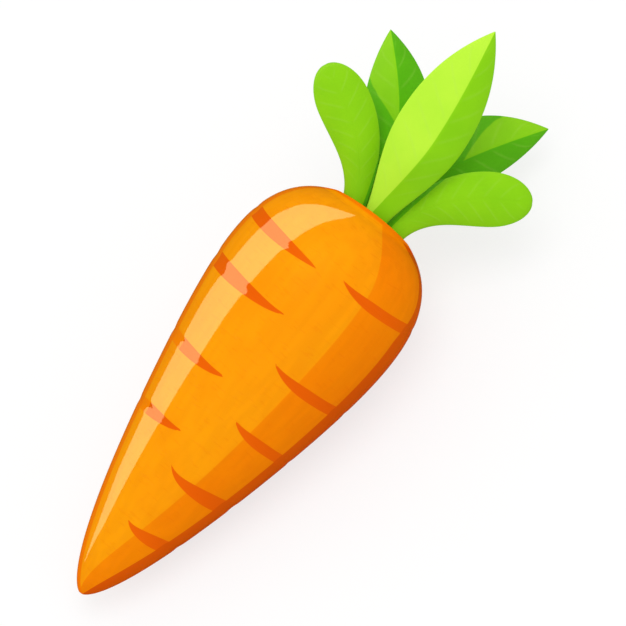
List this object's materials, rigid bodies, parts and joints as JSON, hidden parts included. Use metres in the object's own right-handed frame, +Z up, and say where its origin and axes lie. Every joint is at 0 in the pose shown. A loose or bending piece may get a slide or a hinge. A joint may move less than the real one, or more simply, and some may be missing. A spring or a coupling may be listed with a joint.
{
  "type": "carrot",
  "caption": "Fresh short, thick carrot lying on its side: a tapered orange root with shallow creases and a fan of green leaves at the crown.",
  "frame": {"origin": "middle of the carrot's footprint, on the surface it lies on", "axes": "+X along the carrot from the tip of the root to the leaves, +Z up, +Y to the left looking from the tip to the leaves"},
  "size_m": [0.1978, 0.0634, 0.0616],
  "materials": {
    "carrot_skin": "satin",
    "spring_green_leaf": "satin",
    "round_green_leaf": "satin",
    "deep_green_leaf": "satin"
  },
  "bodies": {
    "root": {"root": "carrot_skin", "center_leaf": "spring_green_leaf", "left_round_leaf": "round_green_leaf", "right_round_leaf": "round_green_leaf", "back_left_leaf": "deep_green_leaf", "back_right_leaf": "deep_green_leaf"}
  },
  "joints": []
}
